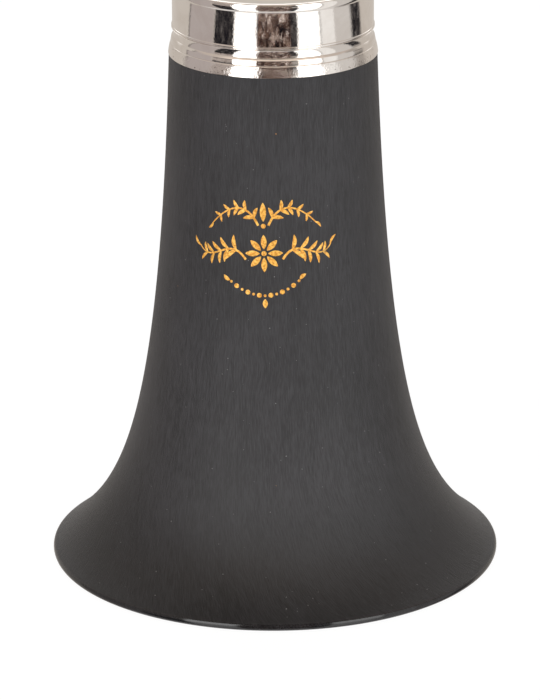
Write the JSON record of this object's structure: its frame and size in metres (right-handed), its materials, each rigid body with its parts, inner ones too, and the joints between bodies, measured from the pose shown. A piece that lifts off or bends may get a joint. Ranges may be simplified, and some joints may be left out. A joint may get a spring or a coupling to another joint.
{
  "type": "clarinet bell",
  "caption": "Flared clarinet bell in satin black resin with a polished nickel ring around its tenon socket.",
  "frame": {"origin": "centre of the mouth plane, where the rim stands on a table", "axes": "+Z along the bore from the mouth up to the socket; -Y is the front, where the emblem is"},
  "size_m": [0.08, 0.08, 0.105],
  "materials": {
    "black_resin": "satin, finely brushed along the bell, dulled gloss on the rim",
    "nickel_plate": "polished nickel with a warm cast and fine handling marks",
    "gold_fill": "gold paint wiped into a shallow engraving"
  },
  "bodies": {
    "root": {"bell_body": "black_resin", "socket_ring": "nickel_plate"}
  },
  "joints": []
}
